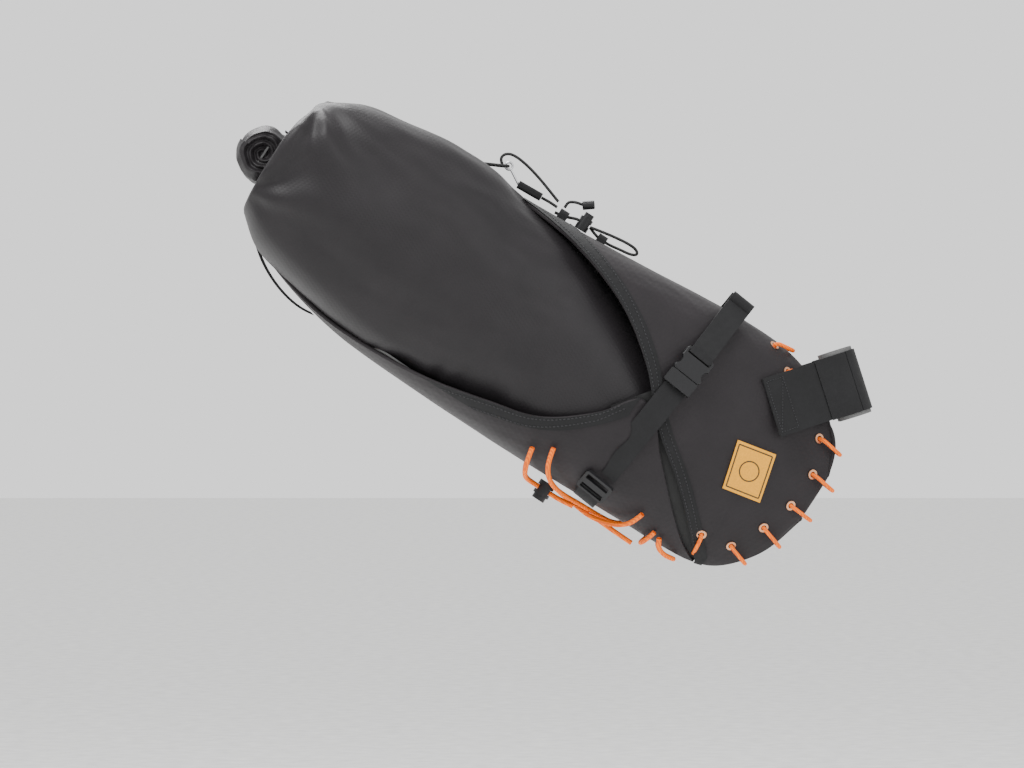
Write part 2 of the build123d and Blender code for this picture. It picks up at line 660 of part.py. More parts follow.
# ---- dry bag, closed by its roll ----
def side_block(outline, half_width):
    """A straight block across the bag with an outline given in the side view as (u, v)."""
    with BuildPart() as block:
        with BuildSketch(Plane.XZ):
            with BuildLine():
                Polyline(*[side(u, v) for u, v in outline], close=True)
            make_face()
        extrude(amount=half_width, both=True)
    return block.part


def roll_form(radius, half_length):
    with BuildPart() as form:
        with BuildSketch(Plane.XZ):
            with Locations(side(*ROLL_CENTRE)):
                Circle(radius)
        extrude(amount=half_length, both=True)
    return form.part


with BuildPart() as bag_hollow:
    add(lofted_form(DRY_BAG_STATIONS, grow=-BAG_WALL))
    add(side_block([(47, 60), (453.5, 60), (508, -220), (47, -220)], 100), mode=Mode.INTERSECT)
    add(side_block([(296, 60)] + [(u - BAG_WALL, v - BAG_WALL) for u, v in GROOVE] + [(530, -80), (530, 60)],
                   GROOVE_HALF_WIDTH + BAG_WALL), mode=Mode.SUBTRACT)
    add(roll_form(ROLL_RADIUS + BAG_WALL, ROLL_HALF_LENGTH + BAG_WALL + 1), mode=Mode.SUBTRACT)

with BuildPart() as dry_bag:
    add(lofted_form(DRY_BAG_STATIONS))
    add(side_block([(0, 60), (456.5, 60), (512, -220), (0, -220)], 100), mode=Mode.INTERSECT)
    add(side_block([(300, 60)] + GROOVE + [(530, -78), (530, 60)], GROOVE_HALF_WIDTH), mode=Mode.SUBTRACT)
    add(roll_form(ROLL_RADIUS, ROLL_HALF_LENGTH + 1), mode=Mode.SUBTRACT)
    add(bag_hollow.part, mode=Mode.SUBTRACT)
finish(dry_bag.part, "dry_bag")

stiffener_plane = Plane(origin=at(*ROLL_CENTRE), x_dir=(AXIS_Z, 0, AXIS_X), z_dir=(0, 1, 0))
with BuildPart() as stiffener:
    with BuildSketch(stiffener_plane):
        RectangleRounded(30.0, 1.5, 0.6)
    extrude(amount=ROLL_HALF_LENGTH - 6, both=True)
finish(stiffener.part, "roll_stiffener")

with BuildPart() as roll:
    add(roll_form(ROLL_RADIUS, ROLL_HALF_LENGTH))
    add(stiffener.part, mode=Mode.SUBTRACT)
finish(roll.part, "dry_bag_roll")

with BuildPart() as closure_strap:
    add(band(Plane.XZ, [side(u, v) for u, v in CLOSURE_LINE], -WEBBING_THICKNESS, WEBBING))
    add(dry_bag.part, mode=Mode.SUBTRACT)
    add(roll_form(ROLL_RADIUS, ROLL_HALF_LENGTH), mode=Mode.SUBTRACT)
finish(closure_strap.part, "closure_strap")
finish(cord_tube(BAG_LOOP_ROUTE, SHOCK_CORD), "bag_loop")

# ---- hook that holds the bag's loop, with its cords ----
with BuildPart() as hook_wire:
    with BuildSketch(Plane(origin=(HOOK_RING[0] + HOOK_RING_RADIUS, 0, HOOK_RING[1]), z_dir=(0, 0, 1))):
        Circle(HOOK_WIRE_RADIUS)
    revolve(axis=Axis((HOOK_RING[0], 0, HOOK_RING[1]), (0, 1, 0)))
    shank = Vector(HOOK_SLEEVE_TOP[0] - HOOK_RING[0], 0, HOOK_SLEEVE_TOP[1] - HOOK_RING[1])
    shank_plane = Plane(origin=Vector(HOOK_RING[0], 0, HOOK_RING[1]) + shank.normalized() * HOOK_RING_RADIUS,
                        z_dir=shank)
    with BuildSketch(shank_plane):
        Circle(HOOK_WIRE_RADIUS)
    extrude(amount=shank.length - HOOK_RING_RADIUS + 3.0)

sleeve_run = Vector(HOOK_SLEEVE_END[0] - HOOK_SLEEVE_TOP[0], 0, HOOK_SLEEVE_END[1] - HOOK_SLEEVE_TOP[1])
sleeve_plane = Plane(origin=(HOOK_SLEEVE_TOP[0], 0, HOOK_SLEEVE_TOP[1]), x_dir=(0, 1, 0), z_dir=sleeve_run)
with BuildPart() as hook_sleeve:
    with BuildSketch(sleeve_plane):
        RectangleRounded(11.0, 6.4, 2.2)
    extrude(amount=sleeve_run.length)
    add(hook_wire.part, mode=Mode.SUBTRACT)
    finish(hook_wire.part, "hook_wire")
finish(hook_sleeve.part, "hook_sleeve")
finish(cord_tube(HOOK_CORD_ROUTE, SHOCK_CORD), "hook_cord")
finish(cord_tube(ARCH_CORD_ROUTE, SHOCK_CORD), "arch_cord")

# ---- cord locks: a barrel, a spring and a plunger squeeze the cord in a cross hole ----
def cord_lock(base, name, cord_diameter, radius, height, across):
    """A cord lock standing on a plane's z axis, with its cross hole along the plane's x axis."""
    bore = radius - LOCK_WALL
    hole_height = 0.55 * height
    hole = cord_diameter + CORD_GAP
    with BuildPart() as barrel:
        with BuildSketch(base):
            Circle(radius)
        extrude(amount=height)
        with BuildSketch(base.offset(LOCK_WALL)):
            Circle(bore)
        extrude(amount=height, mode=Mode.SUBTRACT)
        with BuildSketch(Plane(origin=base.from_local_coords(Vector(-20, 0, hole_height)),
                               x_dir=base.y_dir, z_dir=base.x_dir)):
            Rectangle(across, hole)
        extrude(amount=40, mode=Mode.SUBTRACT)
    finish(barrel.part, f"{name}_lock_barrel")
    with BuildPart() as plunger:
        with BuildSketch(base.offset(LOCK_FLOOR)):
            Circle(bore - CLEARANCE)
        extrude(amount=height - LOCK_FLOOR + LOCK_PROUD)
        with BuildSketch(base.offset(LOCK_FLOOR)):
            Circle(bore - CLEARANCE - PLUNGER_WALL)
        extrude(amount=hole_height - hole / 2 - LOCK_FLOOR - POCKET_ROOF, mode=Mode.SUBTRACT)
        slot_centre = base.from_local_coords(Vector(-20, 0, hole_height + LOCK_TRAVEL / 2))
        with BuildSketch(Plane(origin=slot_centre, x_dir=base.y_dir, z_dir=base.x_dir)):
            Rectangle(across, hole + LOCK_TRAVEL)
        extrude(amount=40, mode=Mode.SUBTRACT)
    finish(plunger.part, f"{name}_lock_plunger")
    wire = SPRING_WIRE / 2
    coil_radius = bore - PLUNGER_WALL - 2 * CLEARANCE - wire
    coil_foot = base.from_local_coords(Vector(0, 0, LOCK_WALL + wire))
    coil_height = hole_height - hole / 2 - POCKET_ROOF - LOCK_WALL - 2 * wire
    with BuildPart() as spring:
        with BuildLine() as coil:
            Helix(coil_height / SPRING_TURNS, coil_height, coil_radius, center=coil_foot, direction=base.z_dir)
        with BuildSketch(Plane(origin=coil.line @ 0, z_dir=coil.line % 0)):
            Circle(wire)
        sweep(path=coil.line, is_frenet=True)
    finish(spring.part, f"{name}_lock_spring")


top_lock_plane = Plane(origin=at(*TOP_LOCK_FOOT), x_dir=(-AXIS_X, 0, AXIS_Z), z_dir=(AXIS_Z, 0, AXIS_X))
cord_lock(top_lock_plane, "top", SHOCK_CORD, 5.4, 11.0, 6.0)
roof_cords = [cord_tube(along_bag(route), SHOCK_CORD) for route in ROOF_CORD_ROUTES]
finish(Compound(children=roof_cords), "roof_cords")
finish(cord_tube(along_bag(PULL_LOOP_ROUTE), SHOCK_CORD), "pull_loop")
tail_cord = cord_tube(TAIL_ROUTE, SHOCK_CORD)
finish(tail_cord, "tail_cord")

# cord end: a moulded cap on the pull cord's tail
with BuildPart() as cord_end:
    with BuildSketch(Plane(origin=(CORD_END[0], 0, CORD_END[1]), z_dir=(1, 0, 0.08))):
        Circle(3.6)
    extrude(amount=5.0, both=True)
    fillet(cord_end.edges(), 1.0)
    add(tail_cord, mode=Mode.SUBTRACT)
finish(cord_end.part, "cord_end")

# sewn loops that hold the roof cords to the holster
roof_loops = []
for u in ROOF_LOOPS:
    with BuildPart() as roof_loop:
        with BuildSketch(Plane(origin=at(u, -16), x_dir=(0, 1, 0), z_dir=(-AXIS_X, 0, AXIS_Z))):
            with Locations((0, -4)):
                RectangleRounded(16.0, 14.0, 4.0)
                RectangleRounded(12.0, 10.0, 3.0, mode=Mode.SUBTRACT)
        extrude(amount=4.0, both=True)
        add(holster_outside, mode=Mode.SUBTRACT)
        add(nose_binding, mode=Mode.SUBTRACT)
    roof_loops += roof_loop.part.solids()
finish(Compound(children=roof_loops), "roof_loops")

# ---- elastic cord laced under the belly ----
cross_back = [(u, v + drop, -y) for (u, v, y), drop in zip(CROSS_STRAND, CROSSING_DROP)]
belly_routes = [LOCK_STRAND, mirrored(LOCK_STRAND), CROSS_STRAND, cross_back, BACK_STRAND, FRONT_STRAND]
belly = [cord_tube(along_bag(route), BELLY_CORD) for route in belly_routes]
with BuildPart() as middle_strand:
    start, end = at(*MIDDLE_STRAND[0]), at(*MIDDLE_STRAND[-1])
    with BuildSketch(Plane(origin=start, z_dir=end - start)):
        Circle(BELLY_CORD / 2)
    extrude(amount=(end - start).length)
belly.append(middle_strand.part)
finish(Compound(children=belly), "belly_cord")
belly_plane = Plane(origin=at(*BELLY_LOCK), x_dir=(AXIS_X, 0, -AXIS_Z), z_dir=(-AXIS_Z, 0, -AXIS_X))
cord_lock(belly_plane, "belly", BELLY_CORD, 7.0, 12.0, 9.8)
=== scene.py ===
"""Looks of a bikepacking saddle bag, built round its CAD frame.

Metres, in the frame of the CAD part: +X forward, +Z up, +Y to the left. u runs rearward along the
bag's axis and v square to it upward, both in millimetres, as in the part's own source.
"""

import json
import math

import bmesh
import bpy
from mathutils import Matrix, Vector, noise


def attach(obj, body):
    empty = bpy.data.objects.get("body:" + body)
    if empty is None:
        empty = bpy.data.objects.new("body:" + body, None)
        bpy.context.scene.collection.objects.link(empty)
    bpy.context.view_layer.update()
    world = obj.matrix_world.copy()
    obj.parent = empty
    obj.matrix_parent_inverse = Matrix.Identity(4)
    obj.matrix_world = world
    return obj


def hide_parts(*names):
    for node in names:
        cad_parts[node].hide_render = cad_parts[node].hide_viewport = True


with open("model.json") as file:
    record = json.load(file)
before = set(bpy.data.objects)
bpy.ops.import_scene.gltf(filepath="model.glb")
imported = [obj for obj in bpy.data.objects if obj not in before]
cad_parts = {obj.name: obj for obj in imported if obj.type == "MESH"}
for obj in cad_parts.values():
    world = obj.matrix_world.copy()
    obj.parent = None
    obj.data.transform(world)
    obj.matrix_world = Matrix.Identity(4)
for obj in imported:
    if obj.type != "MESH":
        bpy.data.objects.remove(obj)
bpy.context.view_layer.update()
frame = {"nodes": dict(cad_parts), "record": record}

MM = 0.001
BAG_TILT = math.radians(33)
AXIS_X = math.cos(BAG_TILT)
AXIS_Z = math.sin(BAG_TILT)
SHOCK_CORD = 2.4
BELLY_CORD = 4.0

# stations of the holster and the dry bag: (u, top, bottom, half width, flank, rise)
HOLSTER_STATIONS = [(-31.5, -70, -110, 3.5, 1.7, 1.0), (-23, -48, -142, 9, 1.7, 1.0),
                    (-9, -33, -165, 17, 1.7, 1.0), (8, -20, -181, 26, 1.6, 1.0),
                    (27, -9, -188, 35, 1.5, 1.0), (52, -2, -190.5, 46, 1.25, 0.95),
                    (88, 0, -191.5, 57, 1.0, 0.9), (132, -2.5, -192.5, 67, 0.86, 0.82),
                    (190, -8, -194, 76, 0.78, 0.78), (250, -12.5, -194, 81, 0.77, 0.77),
                    (310, -15.5, -193, 83, 0.77, 0.77), (365, -15.5, -190, 83, 0.77, 0.77),
                    (412, -15.5, -180.5, 82, 0.77, 0.77), (470, -15.5, -161.5, 80, 0.77, 0.77)]
DRY_BAG_STATIONS = [(44, -98, -158, 20, 1.0, 1.0), (58, -82, -175, 34, 0.95, 0.95),
                    (90, -72, -182, 46, 0.9, 0.9), (132, -62, -184, 57, 0.84, 0.84),
                    (190, -40, -185, 68, 0.8, 0.8), (250, -20, -185, 74.5, 0.77, 0.77),
                    (295, -16, -184.5, 77.5, 0.77, 0.77), (328, -7.5, -187, 80, 0.77, 0.77),
                    (362, -7.5, -184.5, 82.5, 0.77, 0.77), (400, -11.5, -178, 83.5, 0.77, 0.77),
                    (432, -16, -171.5, 84, 0.77, 0.77), (460, -26, -163, 84, 0.77, 0.77),
                    (484, -40, -144.5, 82, 0.77, 0.77)]
NOSE_EDGE = [(23, -186), (48, -161), (72, -140), (110, -111), (141, -78), (187, -45), (244, -24), (299, -16)]
CRADLE_EDGE = [(26, -187), (42, -178), (60, -163), (80, -144), (97, -127), (113, -108), (134, -100),
               (154, -126), (192, -156), (232, -168), (283, -180), (332, -185), (386, -184), (437, -172),
               (463, -163)]

# routes of the free cords, the same points as in the part
ARCH_CORD = [(-276.2, 0, 177.4), (-278.4, 0, 182.2), (-274.6, 0, 186.6), (-267.5, 0, 186), (-257.5, 0, 178.4),
             (-247.5, 0, 168), (-238.5, 0, 157), (-231, 0, 147.6)]
BAG_LOOP = [(-292, -4, 178.5), (-283, -5, 177.5), (-274, -5.5, 176.5), (-270.6, 0, 176.4), (-274, 5.5, 176.5),
            (-283, 5, 177.5), (-292, 4, 178.5)]
PULL_LOOP = [(241.4, -5.45, -1.4), (232, -3.4, -1.5), (221, -1.4, -1.6), (209, 0.2, -1.6), (200.5, 0, -1.5),
             (196.8, -3.2, -1.2), (201.5, -6.2, -0.8), (211, -7.4, -0.2), (220, -8.9, 0.4), (228, -9.2, 0.8),
             (235, -8.2, 1.1), (241.4, -5.45, 1.4)]
LOCK_STRAND = [(184, -180, -54), (182, -190, -49.5), (179, -198, -40), (176.5, -202.5, -27),
               (173, -204, -13.5), (166.5, -204.1, -3.4), (157, -204.1, -2.2), (147, -204.1, -2.2),
               (138, -203.4, -2.3), (130, -202.4, -2.4)]
CROSS_STRAND = [(169.7, -171, -59), (167.5, -182, -56), (162, -191.5, -47.5), (154, -197, -35),
                (143, -198.5, -21), (130, -198, -9), (117, -197.6, 0), (106, -197.4, 7.5), (96, -196.4, 15.5),
                (88, -192.5, 23.5), (83, -185.5, 30), (80.7, -177, 34.5)]
CROSSING_DROP = [0, 0, 0, 0, -1, -2.5, -4.4, -3.2, -1, 0, 0, 0]
BACK_STRAND = [(64, -184, -20), (66, -192, -17), (68, -197.2, -7), (68, -197.2, 7), (66, -192, 17),
               (64, -184, 20)]
MIDDLE_STRAND = [(108, -200.6, 0), (91, -201.4, 0), (74, -201.6, 0)]
FRONT_STRAND = [(58, -186, -17), (55, -192.5, -13.5), (47, -195.5, -8), (38.5, -194, -2.6),
                (38.5, -194, 2.6), (47, -195.5, 8), (55, -192.5, 13.5), (58, -186, 17)]


def at(u, v, y=0.0):
    """A point in metres, from the bag's own lengthwise and upright millimetres."""
    return Vector(((AXIS_Z * v - AXIS_X * u) * MM, y * MM, (AXIS_Z * u + AXIS_X * v) * MM))


# ---- materials ----
def new_material(name, colour, roughness):
    material = bpy.data.materials.new(name)
    material.use_nodes = True
    shader = material.node_tree.nodes["Principled BSDF"]
    shader.inputs["Base Color"].default_value = (*colour, 1.0)
    shader.inputs["Roughness"].default_value = roughness
    shader.inputs["Specular IOR Level"].default_value = 0.25
    return material, material.node_tree, shader


def add_bump(tree, shader, height, strength, distance):
    bump = tree.nodes.new("ShaderNodeBump")
    bump.inputs["Strength"].default_value = strength
    bump.inputs["Distance"].default_value = distance
    tree.links.new(height, bump.inputs["Height"])
    tree.links.new(bump.outputs["Normal"], shader.inputs["Normal"])


def tint(tree, shader, factor, dark, light):
    """Colour that varies between two tones with a pattern."""
    ramp = tree.nodes.new("ShaderNodeValToRGB")
    ramp.color_ramp.elements[0].color = (*dark, 1.0)
    ramp.color_ramp.elements[1].color = (*light, 1.0)
    tree.links.new(factor, ramp.inputs["Fac"])
    tree.links.new(ramp.outputs["Color"], shader.inputs["Base Color"])


def woven(name, dark, light, threads_per_metre, roughness, depth, sheen=0.02):
    """Cloth whose two thread directions cross along and across the bag."""
    material, tree, shader = new_material(name, light, roughness)
    shader.inputs["Sheen Weight"].default_value = sheen
    coordinates = tree.nodes.new("ShaderNodeTexCoord")
    turn = tree.nodes.new("ShaderNodeMapping")
    turn.inputs["Rotation"].default_value = (0.0, BAG_TILT, 0.0)
    tree.links.new(coordinates.outputs["Object"], turn.inputs["Vector"])
    threads = []
    for direction in ("X", "Z"):
        wave = tree.nodes.new("ShaderNodeTexWave")
        wave.bands_direction = direction
        wave.inputs["Scale"].default_value = threads_per_metre / 20
        wave.inputs["Distortion"].default_value = 0.4
        tree.links.new(turn.outputs["Vector"], wave.inputs["Vector"])
        threads.append(wave.outputs["Fac"])
    weave = tree.nodes.new("ShaderNodeMath")
    weave.operation = "MAXIMUM"
    tree.links.new(threads[0], weave.inputs[0])
    tree.links.new(threads[1], weave.inputs[1])
    mottle = tree.nodes.new("ShaderNodeTexNoise")
    mottle.inputs["Scale"].default_value = 35.0
    mottle.inputs["Detail"].default_value = 4.0
    tree.links.new(coordinates.outputs["Object"], mottle.inputs["Vector"])
    tint(tree, shader, mottle.outputs["Fac"], dark, light)
    add_bump(tree, shader, weave.outputs["Value"], 0.35, depth)
    return material


def braided(name, dark, light, roughness=0.7):
    """A braided cord's cover: small slanting picks."""
    material, tree, shader = new_material(name, light, roughness)
    coordinates = tree.nodes.new("ShaderNodeTexCoord")
    picks = tree.nodes.new("ShaderNodeTexWave")
    picks.bands_direction = "DIAGONAL"
    picks.inputs["Scale"].default_value = 240.0
    picks.inputs["Distortion"].default_value = 1.2
    tree.links.new(coordinates.outputs["Object"], picks.inputs["Vector"])
    tint(tree, shader, picks.outputs["Fac"], dark, light)
    add_bump(tree, shader, picks.outputs["Fac"], 0.6, 0.0002)
    return material


def grained(name, colour, roughness, scale, depth, metallic=0.0):
    """Moulded plastic, rubber or metal with a fine surface grain."""
    material, tree, shader = new_material(name, colour, roughness)
    shader.inputs["Metallic"].default_value = metallic
    grain = tree.nodes.new("ShaderNodeTexNoise")
    grain.inputs["Scale"].default_value = scale
    grain.inputs["Detail"].default_value = 5.0
    coordinates = tree.nodes.new("ShaderNodeTexCoord")
    tree.links.new(coordinates.outputs["Object"], grain.inputs["Vector"])
    darker = tuple(0.75 * c for c in colour)
    lighter = tuple(min(1.0, 1.15 * c) for c in colour)
    tint(tree, shader, grain.outputs["Fac"], darker, lighter)
    add_bump(tree, shader, grain.outputs["Fac"], 0.3, depth)
    return material


MATERIALS = {
    "panel_fabric": woven("panel_fabric", (0.009, 0.0075, 0.0085), (0.017, 0.014, 0.016),
                          1500, 0.62, 0.0003),
    "dry_fabric": woven("dry_fabric", (0.008, 0.007, 0.008), (0.015, 0.013, 0.0145),
                        2200, 0.48, 0.00015),
    "webbing": woven("webbing", (0.006, 0.006, 0.0065), (0.013, 0.013, 0.0138), 800, 0.8, 0.0005, 0.04),
    "lining": woven("lining", (0.012, 0.012, 0.012), (0.02, 0.02, 0.02), 1500, 0.85, 0.0002),
    "grip_pad": grained("grip_pad", (0.13, 0.13, 0.13), 0.8, 900.0, 0.0003),
    "plastic": grained("plastic", (0.012, 0.012, 0.013), 0.36, 1200.0, 0.0001),
    "stiffener_plastic": grained("stiffener_plastic", (0.08, 0.08, 0.08), 0.5, 600.0, 0.0001),
    "orange_cord": braided("orange_cord", (0.7, 0.1, 0.0), (1.0, 0.2, 0.0)),
    "black_cord": braided("black_cord", (0.008, 0.008, 0.008), (0.03, 0.03, 0.03)),
    "steel": grained("steel", (0.6, 0.6, 0.62), 0.28, 400.0, 0.00005, 1.0),
    "copper": grained("copper", (0.72, 0.38, 0.22), 0.3, 500.0, 0.00005, 1.0),
    "leather": grained("leather", (0.78, 0.35, 0.018), 0.55, 700.0, 0.0002),
}
thread_material = grained("thread", (0.028, 0.028, 0.03), 0.7, 800.0, 0.0001)
printed_material = grained("printed_border", (0.05, 0.035, 0.02), 0.6, 700.0, 0.0001)

for subpart in frame["record"]["subparts"]:
    node = frame["nodes"][subpart["node"]]
    node.data.materials.clear()
    node.data.materials.append(MATERIALS[subpart["material_slot"]])


# ---- shapes ----
def smooth_between(points, x):
    """Height of a smooth line, through points that go up in x."""
    last = len(points) - 1
    i = next((k for k in range(last) if x <= points[k + 1][0]), last - 1)
    (x1, y1), (x2, y2) = points[i], points[i + 1]
    x0, y0 = points[i - 1] if i > 0 else (2 * x1 - x2, 2 * y1 - y2)
    x3, y3 = points[i + 2] if i + 2 <= last else (2 * x2 - x1, 2 * y2 - y1)
    slope_1 = (y2 - y0) / (x2 - x0)
    slope_2 = (y3 - y1) / (x3 - x1)
    run = x2 - x1
    t = min(max((x - x1) / run, 0.0), 1.0)
    return ((1 + 2 * t) * (1 - t) ** 2 * y1 + t * (1 - t) ** 2 * run * slope_1
            + t * t * (3 - 2 * t) * y2 + t * t * (t - 1) * run * slope_2)


def section(stations, u):
    """Top, bottom, half width, flank and rise of a form at a place along the bag."""
    return [smooth_between([(s[0], s[k]) for s in stations], u) for k in range(1, 6)]


def signed_power(value, power):
    return math.copysign(abs(value) ** power, value)


def on_form(stations, u, turn, lift=0.0):
    """A point (u, v, y) of a form: turn is 90 degrees at the top and goes down the right side."""
    top, bottom, half_width, flank, rise = section(stations, u)
    height = (top - bottom) / 2
    v = (top + bottom) / 2 + (height + lift) * signed_power(math.sin(turn), rise)
    y = -(half_width + lift) * signed_power(math.cos(turn), flank)
    return u, v, y


def turn_at(stations, u, v):
    """The turn at which a form's side reaches a height."""
    top, bottom, _, _, rise = section(stations, u)
    share = (v - (top + bottom) / 2) / ((top - bottom) / 2)
    share = min(max(share, -1.0), 1.0)
    return math.asin(signed_power(share, 1 / rise))


def folds(u, v, y, along, across, depth):
    """Soft creases: noise stretched along one direction."""
    place = Vector((u / along, v / across, y / across))
    return depth * noise.noise(place) + 0.4 * depth * noise.noise(place * 2.7)


def grid_object(name, rows, thickness=0.0, levels=1):
    """A smooth sheet through rows of points, given thickness inward if it has one."""
    mesh = bpy.data.meshes.new(name)
    columns = len(rows[0])
    points = [point for row in rows for point in row]
    faces = [(r * columns + c, r * columns + c + 1, (r + 1) * columns + c + 1, (r + 1) * columns + c)
             for r in range(len(rows) - 1) for c in range(columns - 1)]
    mesh.from_pydata(points, [], faces)
    shape = bmesh.new()
    shape.from_mesh(mesh)
    bmesh.ops.remove_doubles(shape, verts=shape.verts, dist=0.00005)
    middle = sum(points, Vector()) / len(points)
    shape.normal_update()
    outward = sum(face.normal.dot(face.calc_center_median() - middle) * face.calc_area()
                  for face in shape.faces)
    if outward < 0:
        bmesh.ops.reverse_faces(shape, faces=shape.faces)
    shape.to_mesh(mesh)
    shape.free()
    mesh.polygons.foreach_set("use_smooth", [True] * len(mesh.polygons))
    obj = bpy.data.objects.new(name, mesh)
    bpy.context.scene.collection.objects.link(obj)
    if thickness:
        solidify = obj.modifiers.new("thickness", "SOLIDIFY")
        solidify.thickness = thickness
        solidify.offset = -1
    if levels:
        obj.modifiers.new("smooth", "SUBSURF").levels = levels
        obj.modifiers["smooth"].render_levels = levels
    return obj


def closed_ends(rows):
    """The same rows, with a half-size ring and a middle point added at each end."""
    def shrunk(row, share):
        middle = sum(row, Vector()) / len(row)
        return [middle + (point - middle) * share for point in row]

    front = [shrunk(rows[0], 0.0), shrunk(rows[0], 0.5)]
    back = [shrunk(rows[-1], 0.5), shrunk(rows[-1], 0.0)]
    return front + rows + back


def dress(obj, slot_name, body, *nodes):
    obj.data.materials.clear()
    obj.data.materials.append(MATERIALS[slot_name])
    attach(obj, body)
    if nodes:
        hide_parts(*nodes)
    return obj


def spaced(low, high, count):
    return [low + (high - low) * k / count for k in range(count + 1)]


def panel_row(u, start, end, steps):
    """One section of a panel: down or up one side from start to end, then mirrored on the other side."""
    right = [on_form(HOLSTER_STATIONS, u, start + (end - start) * k / steps) for k in range(steps + 1)]
    left = [(place, v, -y) for place, v, y in reversed(right)]
    return right + left[1:]


def puckered(row, depth):
    """A row of surface points with shallow creases, kept flat near the panel's two edges."""
    count = len(row) - 1
    moved = []
    for k, (u, v, y) in enumerate(row):
        calm = min(1.0, min(k, count - k) / 6)
        crease = -abs(folds(u, v, y, 60, 22, depth)) * calm
        moved.append(at(u, v + crease * math.copysign(0.3, v + 95), y + crease * math.copysign(0.9, y)))
    return moved


PANEL_THICKNESS = 3 * MM
NOSE_PUCKER = 1.6
CRADLE_PUCKER = 1.2
NOSE_TIP = 23.5     # ahead of this the nose panel goes all the way round

nose_rows = []
for u in spaced(-31.5, 298.0, 110):
    edge = turn_at(HOLSTER_STATIONS, u, smooth_between(NOSE_EDGE, u))
    low = -math.pi / 2 if u < NOSE_TIP else edge
    nose_rows.append(puckered(panel_row(u, low, math.pi / 2, 40), NOSE_PUCKER))
nose = dress(grid_object("nose_panel", nose_rows, PANEL_THICKNESS), "panel_fabric", "holster", "holster_nose")

cradle_rows = []
for u in spaced(23.8, 463.0, 130):
    edge = turn_at(HOLSTER_STATIONS, u, smooth_between(CRADLE_EDGE, u))
    cradle_rows.append(puckered(panel_row(u, edge, -math.pi / 2, 30), CRADLE_PUCKER))
cradle = dress(grid_object("cradle_panel", cradle_rows, PANEL_THICKNESS), "panel_fabric", "holster",
               "holster_cradle")

# the dry bag: a packed tube whose mouth is folded over its end
REAR_TOP = (475, -36)
REAR_BOTTOM = (496, -134.5)


def rear_limit(v):
    """How far back the bag goes at a height: its end leans with the rolled mouth."""
    lean = (REAR_BOTTOM[0] - REAR_TOP[0]) / (REAR_BOTTOM[1] - REAR_TOP[1])
    return REAR_TOP[0] + (v - REAR_TOP[1]) * lean


FOLD_CENTRES = [(478, -42), (492, -132)]    # the folded mouth's two corners, which creases fan out from
FAN_DEPTH = 4.0
FAN_REACH = 90
PLEAT_DEPTH = 0.9
VALLEY_START = 300
VALLEY_DEPTH = 5.5
FOLD_DEPTH = 2.6
SHRINK = 1.2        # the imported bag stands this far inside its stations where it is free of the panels
SAG = 2.5           # and this far outside them where it rests on the cradle


def fanned(u, v, y):
    """Creases that fan out from the corners of the folded mouth and die away along the bag."""
    total = 0.0
    for centre_u, centre_v in FOLD_CENTRES:
        reach = math.hypot(u - centre_u, v - centre_v)
        angle = math.atan2(v - centre_v, centre_u - u)
        wander = 2.0 * noise.noise(Vector((u / 70, v / 70, centre_v + (1 if y > 0 else 0))))
        total += math.sin(7 * angle + wander) * math.exp(-reach / FAN_REACH) * min(1.0, reach / 25)
    return FAN_DEPTH * total


def pleats(u, v):
    """Small gathers where the bag is squeezed by the cradle's edge and by the nose's edge."""
    over_cradle = abs(v - smooth_between(CRADLE_EDGE, min(u, 463)))
    gathers = math.sin(u / 4.2 + 3 * noise.noise(Vector((u / 30, v / 40, 0)))) * math.exp(-over_cradle / 22)
    behind_nose = abs(v - smooth_between(NOSE_EDGE, min(u, 299)))
    gathers += math.sin(v / 4.6 + 3 * noise.noise(Vector((v / 30, u / 40, 5)))) * math.exp(-behind_nose / 18)
    return PLEAT_DEPTH * gathers


def closure_valley(u, y):
    """The closure strap pulls the top's centre down."""
    if u < VALLEY_START:
        return 0.0
    return -VALLEY_DEPTH * math.exp(-((y / 17) ** 2)) * min(1.0, (u - VALLEY_START) / 30)


bag_rows = []
AROUND = 120
for u in spaced(44.0, 484.0, 150):
    row = []
    for k in range(AROUND + 1):
        turn = 2 * math.pi * k / AROUND
        _, v, y = on_form(DRY_BAG_STATIONS, u, turn)
        free = min(1.0, max(0.0, (u - 180) / 60))
        ripple = free * (folds(u + 0.6 * v, v, y, 80, 30, FOLD_DEPTH) + fanned(u, v, y) + pleats(u, v))
        ripple -= SHRINK * free
        underneath = min(1.0, max(0.0, (-math.sin(turn) - 0.45) / 0.3))
        resting = underneath * min(1.0, max(0.0, (u - 310) / 30))
        ripple = ripple * (1 - 0.9 * resting) + SAG * resting
        v += ripple * math.sin(turn) + closure_valley(u, y) * max(0.0, math.sin(turn))
        y -= ripple * math.cos(turn)
        squeezed = min(u, rear_limit(v) + 1.5 * noise.noise(Vector((v / 20, y / 20, 0))))
        row.append(at(squeezed, v, y))
    bag_rows.append(row)
dry_bag = dress(grid_object("dry_bag_skin", closed_ends(bag_rows)), "dry_fabric", "dry_bag", "dry_bag")

